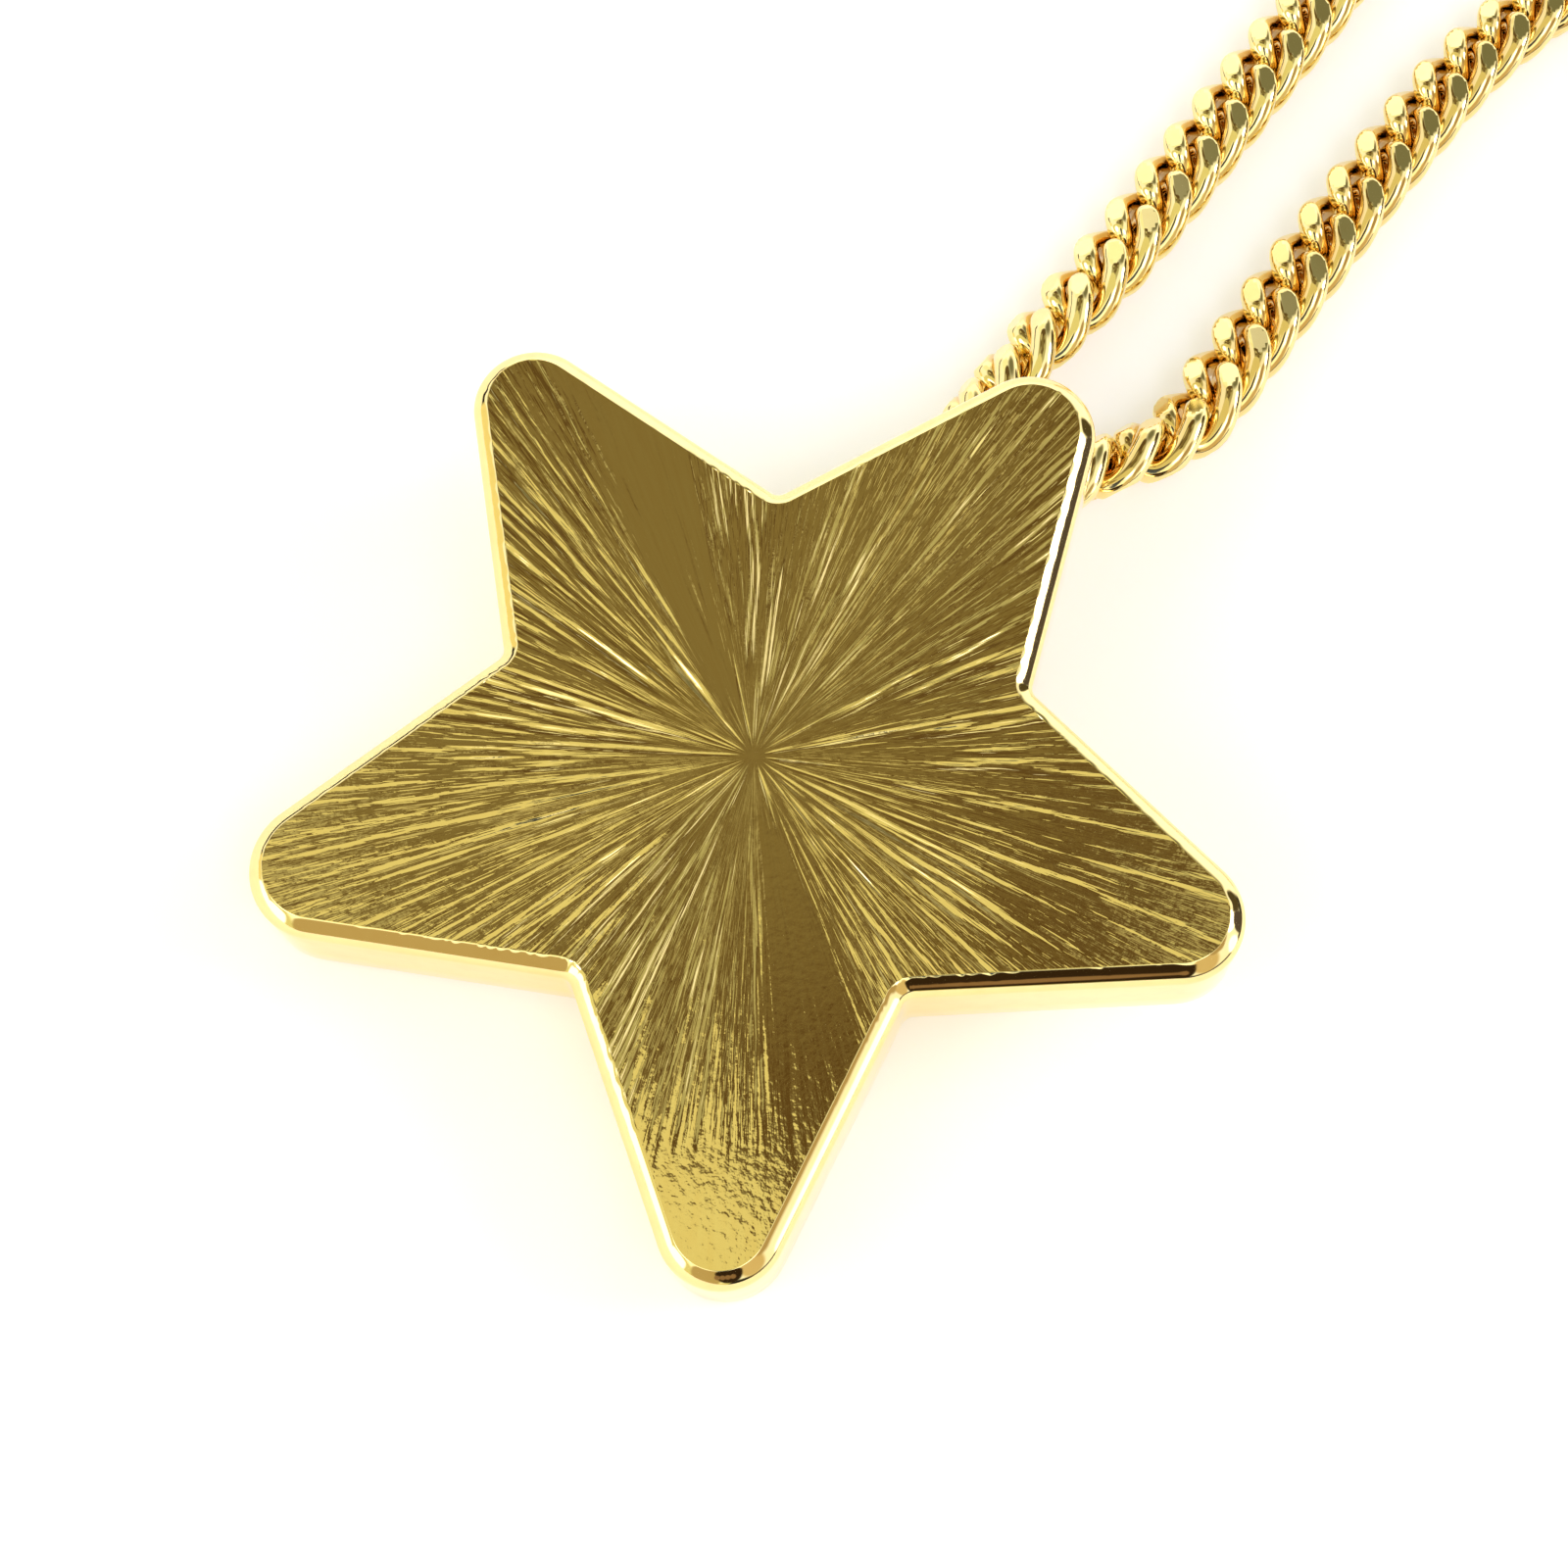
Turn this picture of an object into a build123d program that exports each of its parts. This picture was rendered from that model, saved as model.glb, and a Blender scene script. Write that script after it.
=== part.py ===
from build123d import *
from math import asin, atan2, cos, degrees, hypot, pi, radians, sin, tan
import os

# Star pendant on a curb chain, laid on a flat surface, in millimetres.
# +Z is up and +Y runs along the necklace, from the star towards the clasp.
# The origin is under the middle of the whole necklace, on the surface.

# Whole necklace
laid_length = 214.0

# Star
arm_count = 5
arm_corner = 21.5
waist_corner = 9.8
arm_rounding = 2.4
waist_rounding = 0.45
star_thickness = 4.0
rim_rounding = 0.6
back_rounding = 0.3

# Chain: one round tube stands for the links
chain_diameter = 2.8

# Bail: a bent strip soldered to the star's back, behind the top arm
bail_distance = 10.8
bail_width = 2.0
bail_strip = 0.8
bail_corner = 1.6
bail_clearance = 0.4
bail_slack = 0.9
solder_depth = 0.3

# Engraved sunburst: straight V-shaped cuts that fan out from the centre
groove_width = 0.36
groove_depth = 0.12
groove_margin = 0.9
groove_step = 6.0

# Each row is one cut of a repeating group of five: how far it is turned from its even place,
# as a share of the step, and where it starts and ends, as shares of the way to the rim.
GROOVES = [
    {"turn": 0.00, "start": 0.24, "end": 1.00},
    {"turn": 0.12, "start": 0.52, "end": 0.97},
    {"turn": -0.10, "start": 0.38, "end": 1.00},
    {"turn": 0.08, "start": 0.58, "end": 0.94},
    {"turn": -0.06, "start": 0.44, "end": 0.98},
]

# Clasp: a plain barrel with a blind hole in each end
clasp_length = 12.0
clasp_diameter = 4.4
clasp_rounding = 0.9
clasp_waist_depth = 0.35
clasp_waist_length = 3.0
socket_depth = 1.5
socket_clearance = 0.3
end_gap = 0.3

# Star outline, worked out from the corners that the roundings trim
sector = 180.0 / arm_count
edge_run = arm_corner - waist_corner * cos(radians(sector))
edge_angle = atan2(waist_corner * sin(radians(sector)), edge_run)
arm_center = arm_corner - arm_rounding / sin(edge_angle)
star_points = []
star_radii = []
for corner in range(2 * arm_count):
    reach = waist_corner if corner % 2 else arm_corner
    angle = radians(90.0 + sector * corner)
    star_points.append((reach * cos(angle), reach * sin(angle)))
    star_radii.append(waist_rounding if corner % 2 else arm_rounding)

# Bail opening, with room for the chain all round
opening_depth = chain_diameter + 2 * bail_clearance
opening_length = chain_diameter + 2 * bail_slack
bail_depth = opening_depth + bail_strip
bail_length = opening_length + 2 * bail_strip

# Lean of the star: it rests on the back edges of two arms and on the bail
low_turn = sector if arm_count % 2 else 0.0
low_share = cos(radians(low_turn))
rest_arm_y = -arm_center * low_share - arm_rounding + back_rounding
rest_arm_z = back_rounding - star_thickness
rest_bail_y = bail_distance - bail_length / 2 + bail_corner
rest_bail_z = bail_corner - star_thickness - bail_depth
rest_span = hypot(rest_bail_y - rest_arm_y, rest_bail_z - rest_arm_z)
rest_slope = atan2(rest_bail_z - rest_arm_z, rest_bail_y - rest_arm_y)
star_lean = asin((bail_corner - back_rounding) / rest_span) - rest_slope
star_height = back_rounding - rest_arm_y * sin(star_lean) - rest_arm_z * cos(star_lean)

# Place of the star's centre along the necklace: its lower arms end the necklace
front_arm_y = (-arm_center * low_share - arm_rounding + rim_rounding) * cos(star_lean)
front_reach = front_arm_y + rim_rounding * sin(star_lean) - rim_rounding
star_y = -laid_length / 2 - front_reach
star_plane = Plane(
    origin=(0, star_y, star_height),
    x_dir=(1, 0, 0),
    z_dir=(0, -sin(star_lean), cos(star_lean)),
)

# Middle of the bail's opening, where the chain passes
opening_z = -star_thickness - opening_depth / 2
bail_y = star_y + bail_distance * cos(star_lean) - opening_z * sin(star_lean)
bail_z = star_height + bail_distance * sin(star_lean) + opening_z * cos(star_lean)

# Clasp place: it ends the necklace at the far end
clasp_y = laid_length / 2 - clasp_diameter / 2
clasp_z = clasp_diameter / 2
chain_end = clasp_length / 2 - socket_depth + end_gap
lie = chain_diameter / 2

# Share of the shorter run beside a corner of the route that its arc takes up
arc_share = 0.45

# Route of the chain's middle, from one clasp hole through the bail and back to the other
CHAIN_ROUTE = [
    (-chain_end, clasp_y, clasp_z),
    (-10.5, clasp_y, clasp_z),
    (-20.0, 102.9, lie),
    (-33.0, 94.5, lie),
    (-43.3, 78.0, lie),
    (-46.6, 56.0, lie),
    (-43.0, 33.0, lie),
    (-33.0, 11.0, lie),
    (-20.5, -9.0, lie),
    (-11.4, -27.5, lie),
    (-6.9, -43.0, lie),
    (-5.7, -57.5, lie),
    (-5.1, -69.5, lie + 0.1),
    (-4.3, bail_y + 5.6, lie + 0.9),
    (-3.0, bail_y + 1.9, bail_z - 0.1),
    (-1.3, bail_y, bail_z),
    (1.3, bail_y, bail_z),
    (2.75, bail_y + 1.9, bail_z),
    (2.5, bail_y + 4.6, bail_z - 0.1),
    (1.65, -72.0, lie + 0.4),
    (1.3, -64.0, lie),
    (1.0, -49.0, lie),
    (2.6, -33.5, lie),
    (9.8, -17.0, lie),
    (21.5, 1.0, lie),
    (35.5, 21.0, lie),
    (44.6, 42.0, lie),
    (46.5, 62.5, lie),
    (40.8, 82.5, lie),
    (30.5, 96.6, lie),
    (19.5, 103.3, lie),
    (10.0, clasp_y, clasp_z),
    (chain_end, clasp_y, clasp_z),
]


def route_radii(points):
    """Radius of the tangent arc at each inner point, from the shorter run beside it."""
    radii = []
    for before, here, after in zip(points, points[1:], points[2:]):
        run_in = Vector(*here) - Vector(*before)
        run_out = Vector(*after) - Vector(*here)
        half_turn = radians(run_in.get_angle(run_out)) / 2
        radii.append(arc_share * min(run_in.length, run_out.length) / tan(half_turn))
    return radii


def way_to_rim(angle):
    """Distance from the star's centre to the end of a cut at an angle from the top arm, in degrees."""
    from_arm = abs((angle + sector) % (2 * sector) - sector)
    inner_arm = arm_corner - groove_margin / sin(edge_angle)
    inner_waist = waist_corner - groove_margin / sin(edge_angle + radians(sector))
    across = inner_arm * inner_waist * sin(radians(sector))
    span = inner_arm * sin(radians(from_arm)) + inner_waist * sin(radians(sector - from_arm))
    rounded_arm = arm_center + arm_rounding - groove_margin
    return min(across / span, rounded_arm)


# Cutters for the sunburst, standing in the star's own plane
sunburst = []
for number in range(round(360.0 / groove_step)):
    cut = GROOVES[number % len(GROOVES)]
    angle = groove_step * (number + cut["turn"])
    reach = way_to_rim(angle)
    heading = Vector(0, 1, 0).rotate(Axis.Z, angle)
    with BuildPart() as cutter:
        with BuildSketch(Plane(origin=heading * (reach * cut["start"]), x_dir=(0, 0, 1), z_dir=heading)):
            with BuildLine():
                Polyline(
                    (-groove_depth, 0),
                    (groove_depth, groove_width),
                    (groove_depth, -groove_width),
                    close=True,
                )
            make_face()
        extrude(amount=reach * (cut["end"] - cut["start"]))
    sunburst.append(cutter.part)

# Star with its bail, first in its own plane: the face lies at zero and the back below it
with BuildPart() as star_flat:
    with BuildSketch(Plane.XY.offset(-star_thickness)):
        with BuildLine():
            FilletPolyline(*star_points, radius=star_radii, close=True)
        make_face()
    extrude(amount=star_thickness)
    fillet(star_flat.edges().group_by(Axis.Z)[-1], radius=rim_rounding)
    fillet(star_flat.edges().group_by(Axis.Z)[0], radius=back_rounding)
    add(sunburst, mode=Mode.SUBTRACT)
    bail_top = -star_thickness + solder_depth
    with BuildSketch(Plane.YZ.offset(-bail_width / 2)):
        with Locations((bail_distance, bail_top)):
            Rectangle(bail_length, bail_depth + solder_depth, align=(Align.CENTER, Align.MAX))
        with Locations((bail_distance, -star_thickness)):
            Rectangle(
                opening_length,
                opening_depth,
                align=(Align.CENTER, Align.MAX),
                mode=Mode.SUBTRACT,
            )
    extrude(amount=bail_width)
    bail_edges = star_flat.edges().filter_by(Axis.X)
    low_outer = bail_edges.group_by(Axis.Z)[0]
    low_inner = bail_edges.group_by(Axis.Z)[1]
    fillet(low_outer, radius=bail_corner)
    fillet(low_inner, radius=bail_corner - bail_strip)

# Star laid down in its place on the surface
with BuildPart() as star_pendant:
    add(star_plane.location * star_flat.part)
star_pendant.part.label = "star_pendant"

# Chain
chain_radii = route_radii(CHAIN_ROUTE)
with BuildPart() as chain:
    with BuildLine() as chain_line:
        FilletPolyline(*CHAIN_ROUTE, radius=chain_radii)
    with BuildSketch(Plane(origin=chain_line.line @ 0, z_dir=chain_line.line % 0)):
        Circle(chain_diameter / 2)
    sweep()
chain.part.label = "chain"

# Clasp
with BuildPart() as clasp:
    with BuildSketch(Plane((0, clasp_y, clasp_z), x_dir=(0, 1, 0), z_dir=(1, 0, 0))):
        Circle(clasp_diameter / 2)
    extrude(amount=clasp_length / 2, both=True)
    fillet(clasp.edges().filter_by(GeomType.CIRCLE), radius=clasp_rounding)
    with BuildSketch(Plane((0, clasp_y, clasp_z), x_dir=(0, 1, 0), z_dir=(1, 0, 0))):
        Circle(clasp_diameter / 2)
        Circle(clasp_diameter / 2 - clasp_waist_depth, mode=Mode.SUBTRACT)
    extrude(amount=clasp_waist_length / 2, both=True, mode=Mode.SUBTRACT)
    for side in (-1, 1):
        mouth = Plane((side * clasp_length / 2, clasp_y, clasp_z), x_dir=(0, 1, 0), z_dir=(side, 0, 0))
        with BuildSketch(mouth):
            Circle(chain_diameter / 2 + socket_clearance)
        extrude(amount=-socket_depth, mode=Mode.SUBTRACT)
clasp.part.label = "clasp"

os.makedirs("parts", exist_ok=True)
export_step(star_pendant.part, "parts/star_pendant.step")
export_step(chain.part, "parts/chain.step")
export_step(clasp.part, "parts/clasp.step")

# What the model measures
line_length = chain_line.wire().length
tube_volume = pi * (chain_diameter / 2) ** 2 * line_length
print("star lean", round(degrees(star_lean), 2), "height", round(star_height, 3), "y", round(star_y, 3))
print("bail opening middle", round(bail_y, 3), round(bail_z, 3))
print("chain and clasp all round", round(line_length + 2 * chain_end, 1))
print("chain volume", round(chain.part.volume, 1), "section times length", round(tube_volume, 1))
for point, radius in zip(CHAIN_ROUTE[1:], chain_radii):
    print("arc at", [round(value, 1) for value in point], "radius", round(radius, 1))
for piece in (star_pendant, chain, clasp):
    box = piece.part.bounding_box()
    print(piece.part.label, "volume", round(piece.part.volume, 1), box.min, box.max)
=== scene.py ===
import math

import bmesh
import bpy
import numpy as np
from mathutils import Matrix, Vector


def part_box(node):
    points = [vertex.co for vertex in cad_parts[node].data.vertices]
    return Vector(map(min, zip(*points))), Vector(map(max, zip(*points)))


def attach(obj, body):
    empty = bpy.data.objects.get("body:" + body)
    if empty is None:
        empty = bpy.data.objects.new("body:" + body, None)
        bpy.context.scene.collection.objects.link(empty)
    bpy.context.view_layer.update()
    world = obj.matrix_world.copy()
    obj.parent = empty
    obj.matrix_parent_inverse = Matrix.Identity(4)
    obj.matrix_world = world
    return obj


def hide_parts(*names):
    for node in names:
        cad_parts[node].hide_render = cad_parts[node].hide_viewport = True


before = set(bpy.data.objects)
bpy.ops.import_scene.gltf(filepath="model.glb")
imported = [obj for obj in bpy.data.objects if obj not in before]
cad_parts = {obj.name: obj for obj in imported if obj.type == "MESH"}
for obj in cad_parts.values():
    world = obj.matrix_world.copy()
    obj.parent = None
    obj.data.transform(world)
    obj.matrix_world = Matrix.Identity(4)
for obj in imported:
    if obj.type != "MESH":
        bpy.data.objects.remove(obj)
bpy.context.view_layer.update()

# Sizes are in millimetres, as in the solid, and MM turns them to metres
MM = 0.001
FULL_TURN = 2 * math.pi

# Star, as the solid is
arm_count = 5
arm_corner = 21.5
waist_corner = 9.8
arm_rounding = 2.4
waist_rounding = 0.45
star_thickness = 4.0
rim_rounding = 0.6
back_rounding = 0.3

# The cast star is not quite even: the sharp corners of its outline as the photo shows them,
# arm and waist by turns from the top arm, turn in degrees anticlockwise
CORNERS = [
    dict(turn=1.1, corner=21.3, rounding=2.3),
    dict(turn=35.5, corner=9.85, rounding=waist_rounding),
    dict(turn=71.0, corner=21.3, rounding=2.2),
    dict(turn=105.7, corner=9.65, rounding=waist_rounding),
    dict(turn=143.9, corner=21.7, rounding=2.5),
    dict(turn=180.7, corner=9.85, rounding=waist_rounding),
    dict(turn=216.4, corner=21.6, rounding=2.2),
    dict(turn=251.5, corner=9.8, rounding=waist_rounding),
    dict(turn=288.4, corner=21.0, rounding=2.3),
    dict(turn=324.2, corner=9.85, rounding=waist_rounding),
]

# Bail and chain sizes that the star's lean and the links follow
chain_diameter = 2.8
bail_distance = 10.8
bail_width = 2.0
bail_strip = 0.8
bail_corner = 1.6
bail_clearance = 0.4
bail_slack = 0.9
strip_rounding = 0.18
solder_depth = 0.3

# Curb link: round wire, an oval twisted along its length, with four ground facets
wire_diameter = 1.02
link_half_length = 1.76
link_half_width = 1.14
link_twist = math.radians(-60.0)
facet_tilt = math.radians(13.0)
facet_depth = 0.17
link_squareness = 2.8
link_pitch = 2.33

# Clasp
clasp_length = 12.0
clasp_diameter = 4.4
socket_depth = 1.5
end_gap = 0.3

# Star outline and lean, worked out as in the solid
sector = math.pi / arm_count
edge_angle = math.atan2(
    waist_corner * math.sin(sector), arm_corner - waist_corner * math.cos(sector)
)
arm_center = arm_corner - arm_rounding / math.sin(edge_angle)
opening_depth = chain_diameter + 2 * bail_clearance
opening_length = chain_diameter + 2 * bail_slack
bail_depth = opening_depth + bail_strip
bail_length = opening_length + 2 * bail_strip
low_share = math.cos(sector)
rest_arm_y = -arm_center * low_share - arm_rounding + back_rounding
rest_arm_z = back_rounding - star_thickness
rest_bail_y = bail_distance - bail_length / 2 + bail_corner
rest_bail_z = bail_corner - star_thickness - bail_depth
rest_span = math.hypot(rest_bail_y - rest_arm_y, rest_bail_z - rest_arm_z)
rest_slope = math.atan2(rest_bail_z - rest_arm_z, rest_bail_y - rest_arm_y)
star_lean = math.asin((bail_corner - back_rounding) / rest_span) - rest_slope
star_height = (
    back_rounding - rest_arm_y * math.sin(star_lean) - rest_arm_z * math.cos(star_lean)
)
front_arm_y = (-arm_center * low_share - arm_rounding + rim_rounding) * math.cos(star_lean)
front_reach = front_arm_y + rim_rounding * math.sin(star_lean) - rim_rounding
star_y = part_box("star_pendant")[0].y / MM - front_reach

# The star's own frame: x across, y towards the top arm, z out of the face
star_place = Matrix.Translation((0, star_y, star_height)) @ Matrix.Rotation(star_lean, 4, "X")

# Middle of the bail's opening, the clasp's middle, how far from that the chain ends in the
# clasp, and the height at which the chain lies
opening_z = -star_thickness - opening_depth / 2
bail_y = star_y + bail_distance * math.cos(star_lean) - opening_z * math.sin(star_lean)
bail_z = star_height + bail_distance * math.sin(star_lean) + opening_z * math.cos(star_lean)
clasp_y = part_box("clasp")[1].y / MM - clasp_diameter / 2
clasp_z = clasp_diameter / 2
chain_end = clasp_length / 2 - socket_depth + end_gap
lie = chain_diameter / 2

# Route of the chain's middle, as in the solid but nearer the photo's on both sides of the bail
CHAIN_ROUTE = [
    (-chain_end, clasp_y, clasp_z),
    (-10.5, clasp_y, clasp_z),
    (-20.0, 102.9, lie),
    (-33.0, 94.5, lie),
    (-43.3, 78.0, lie),
    (-46.6, 56.0, lie),
    (-43.0, 33.0, lie),
    (-33.0, 11.0, lie),
    (-20.5, -9.0, lie),
    (-11.4, -27.5, lie),
    (-6.9, -43.0, lie),
    (-5.9, -54.5, lie),
    (-4.85, -64.0, lie),
    (-4.55, -70.5, lie + 0.2),
    (-4.1, bail_y + 5.6, lie + 0.9),
    (-3.0, bail_y + 1.9, bail_z - 0.1),
    (-1.3, bail_y, bail_z),
    (1.0, bail_y, bail_z),
    (1.85, bail_y + 1.1, bail_z),
    (1.6, bail_y + 2.7, bail_z + 0.1),
    (0.6, bail_y + 4.9, bail_z + 0.2),
    (0.45, bail_y + 6.5, bail_z),
    (1.35, -71.4, lie + 0.9),
    (2.15, -68.4, lie + 0.2),
    (1.75, -65.3, lie),
    (1.15, -60.3, lie),
    (0.3, -51.0, lie),
    (0.0, -43.0, lie),
    (2.2, -32.0, lie),
    (9.6, -17.2, lie),
    (21.5, 1.0, lie),
    (35.5, 21.0, lie),
    (44.6, 42.0, lie),
    (46.5, 62.5, lie),
    (40.8, 82.5, lie),
    (30.5, 96.6, lie),
    (19.5, 103.3, lie),
    (10.0, clasp_y, clasp_z),
    (chain_end, clasp_y, clasp_z),
]


def make_camera():
    """Looks down on the star from the lower right, turned as the photo is.

    Gives the picture's right and the direction back to the camera.
    """
    aim = Vector((1.377, -92.499, 6.265)) * MM
    distance = 94.14 * MM
    azimuth = math.radians(30.76)
    elevation = math.radians(64.6)
    roll = math.radians(10.213)
    back = Vector((
        math.sin(azimuth) * math.cos(elevation),
        -math.cos(azimuth) * math.cos(elevation),
        math.sin(elevation),
    ))
    level = Vector((0, 0, 1)).cross(back).normalized()
    rise = back.cross(level)
    right = level * math.cos(roll) + rise * math.sin(roll)
    top = rise * math.cos(roll) - level * math.sin(roll)
    turn = Matrix((right, top, back)).transposed().to_4x4()
    camera = bpy.data.objects.new("camera", bpy.data.cameras.new("camera"))
    camera.data.lens = 63.168
    camera.data.sensor_width = 36.0
    camera.data.clip_start = 5.0 * MM
    camera.data.clip_end = 10000.0 * MM
    camera.matrix_world = Matrix.Translation(aim + back * distance) @ turn
    bpy.context.scene.collection.objects.link(camera)
    bpy.context.scene.camera = camera
    return right, back


# Sockets of a Mix node that mixes colours
MIX_SHARE = 0
MIX_FIRST = 6
MIX_SECOND = 7
MIX_RESULT = 2


def colour_mix(tree, share, first, second):
    """Output that goes from first to second with the share; each is a colour or an output."""
    mix = tree.nodes.new("ShaderNodeMix")
    mix.data_type = "RGBA"
    tree.links.new(share, mix.inputs[MIX_SHARE])
    for socket, colour in ((MIX_FIRST, first), (MIX_SECOND, second)):
        if isinstance(colour, bpy.types.NodeSocket):
            tree.links.new(colour, mix.inputs[socket])
        else:
            mix.inputs[socket].default_value = colour
    return mix.outputs[MIX_RESULT]


# The tent round the star and the soft patches in it, each laid over those before it. heading
# is the side that a patch stands on, in degrees from the picture's right, anticlockwise; away
# is its distance in degrees from the direction that the star's face mirrors into the camera;
# radius is its size and soft how far its edge fades each way, in degrees too
TENT_LIGHT = (1.2, 1.2, 1.18)
STUDIO = [
    dict(name="horizon", heading=135, away=167.2, radius=97, soft=1.5, light=(0.03, 0.03, 0.03)),
    dict(name="back wall", heading=75, away=86, radius=44, soft=4, light=(1.6, 1.6, 1.5)),
    dict(name="left wall", heading=110, away=42, radius=16, soft=6, light=(1.1, 1.12, 0.85)),
    dict(name="ceiling", heading=90, away=0, radius=29, soft=5, light=(0.50, 0.49, 0.29)),
    dict(name="canopy edge", heading=90, away=12, radius=20, soft=2, light=(0.13, 0.085, 0.034)),
    dict(name="canopy", heading=115, away=5, radius=7.5, soft=5, light=(0.24, 0.195, 0.088)),
    *[
        dict(name="beam", heading=turn, away=12, radius=3, soft=1.5, light=(0.50, 0.47, 0.28))
        for turn in (0, 180)
    ],
    dict(name="beam", heading=128, away=19, radius=5, soft=2, light=(0.62, 0.58, 0.34)),
    dict(name="beam", heading=40, away=19, radius=4, soft=2, light=(0.50, 0.47, 0.28)),
    dict(name="window", heading=245, away=57.6, radius=50, soft=0.4, light=(0.84, 0.80, 0.44)),
    dict(name="window top", heading=262, away=62, radius=33, soft=4, light=(1.5, 1.5, 1.3)),
    dict(name="stand", heading=287, away=8.5, radius=2.6, soft=0.4, light=(0.12, 0.075, 0.026)),
    dict(name="left skylight", heading=220, away=48, radius=12, soft=3, light=(3.2, 3.3, 4.0)),
    dict(name="right skylight", heading=303, away=46, radius=9, soft=3, light=(3.2, 3.3, 4.0)),
    dict(name="lens", heading=270, away=37, radius=8, soft=2, light=(0.05, 0.06, 0.09)),
    dict(name="photographer", heading=270, away=48, radius=7, soft=2, light=(0.09, 0.12, 0.2)),
    dict(name="photographer", heading=270, away=58, radius=6, soft=2, light=(0.09, 0.12, 0.2)),
    dict(name="front wall", heading=251, away=84, radius=18, soft=2, light=(0.55, 0.42, 0.22)),
    dict(name="side wall", heading=306, away=80, radius=17, soft=3, light=(0.74, 0.58, 0.34)),
    dict(name="table edge", heading=277, away=81, radius=16, soft=1.5, light=(0.035, 0.02, 0.01)),
    *[
        dict(name="table lip", heading=turn, away=87, radius=3.2, soft=0.8, light=(0.28, 0.17, 0.10))
        for turn in (263, 269, 275, 281)
    ],
    dict(name="high screen", heading=50, away=48, radius=18, soft=10, light=(0.20, 0.20, 0.13)),
    dict(name="right shade", heading=328, away=64, radius=14, soft=3, light=(0.50, 0.37, 0.20)),
    dict(name="right lamp", heading=0, away=69, radius=12, soft=1.2, light=(6.0, 5.9, 6.4)),
    dict(name="right screen", heading=23, away=80, radius=10, soft=2, light=(0.09, 0.07, 0.035)),
    dict(name="low screen", heading=6, away=87.5, radius=10, soft=1.2, light=(0.10, 0.08, 0.08)),
    dict(name="low lamp", heading=344, away=91, radius=8.5, soft=1.5, light=(3.0, 2.9, 2.7)),
    dict(name="left glow", heading=169, away=75, radius=11, soft=3, light=(1.0, 0.88, 0.48)),
    dict(name="left screen", heading=158, away=88, radius=4.5, soft=2, light=(0.3, 0.26, 0.14)),
    dict(name="left lamp", heading=190, away=83, radius=12, soft=1.5, light=(2.4, 2.35, 2.6)),
    dict(name="left lamp end", heading=212, away=84, radius=13, soft=1.5, light=(2.4, 2.35, 2.6)),
]

# What the camera sees past the floor
BACKDROP = (1.1, 1.1, 1.1, 1.0)


def light_studio(right, back):
    """A pale tent with a brown canopy over the star, windows, dark screens and low lamps."""
    face = (star_place.to_3x3() @ Vector((0, 0, 1))).normalized()
    mirror = 2 * back.dot(face) * face - back
    across = (right - right.dot(mirror) * mirror).normalized()
    upward = mirror.cross(across)
    world = bpy.data.worlds.new("studio")
    world.use_nodes = True
    bpy.context.scene.world = world
    tree = world.node_tree
    direction = tree.nodes.new("ShaderNodeTexCoord")
    light = (*TENT_LIGHT, 1.0)
    for patch in STUDIO:
        heading = math.radians(patch["heading"])
        away = math.radians(patch["away"])
        side = across * math.cos(heading) + upward * math.sin(heading)
        near = tree.nodes.new("ShaderNodeVectorMath")
        near.operation = "DOT_PRODUCT"
        near.inputs[1].default_value = mirror * math.cos(away) + side * math.sin(away)
        tree.links.new(direction.outputs["Generated"], near.inputs[0])
        share = tree.nodes.new("ShaderNodeMapRange")
        share.interpolation_type = "SMOOTHSTEP"
        outer, inner = patch["radius"] + patch["soft"], patch["radius"] - patch["soft"]
        share.inputs["From Min"].default_value = math.cos(math.radians(outer))
        share.inputs["From Max"].default_value = math.cos(math.radians(inner))
        tree.links.new(near.outputs["Value"], share.inputs["Value"])
        light = colour_mix(tree, share.outputs["Result"], light, (*patch["light"], 1.0))
    sight = tree.nodes.new("ShaderNodeLightPath")
    seen = colour_mix(tree, sight.outputs["Is Camera Ray"], light, BACKDROP)
    tree.links.new(seen, tree.nodes["Background"].inputs["Color"])
    # The light comes softly from all sides, so no rays are spent on searching for it
    world.cycles.sampling_method = "NONE"
    bpy.context.scene.view_settings.view_transform = "Standard"


def node_material(name):
    """A new material: itself, its Principled shader, a maker of nodes and a maker of links."""
    material = bpy.data.materials.new(name)
    material.use_nodes = True
    tree = material.node_tree

    def add(kind, settings=None, **values):
        node = tree.nodes.new(kind)
        for key, value in (settings or {}).items():
            setattr(node, key, value)
        for key, value in values.items():
            node.inputs[key.replace("_", " ")].default_value = value
        return node

    return material, tree.nodes["Principled BSDF"], add, tree.links.new


# Plating: bright gold, the deeper gold that it drifts to, and a deeper orange painted inside the
# links and underneath as painted shade
GOLD = (0.96, 0.79, 0.36, 1.0)
GOLD_DEEP = (0.90, 0.68, 0.27, 1.0)
GOLD_PAINTED_SHADE = (0.80, 0.53, 0.19, 1.0)

# The face's scratches: how fine their noise is across the rays and along them, and how deep
# they and the pebbles of the plating are
scratches_across = 70.0
scratches_along = 0.5
scratch_depth = 0.03
pebble_depth = 0.006


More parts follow.
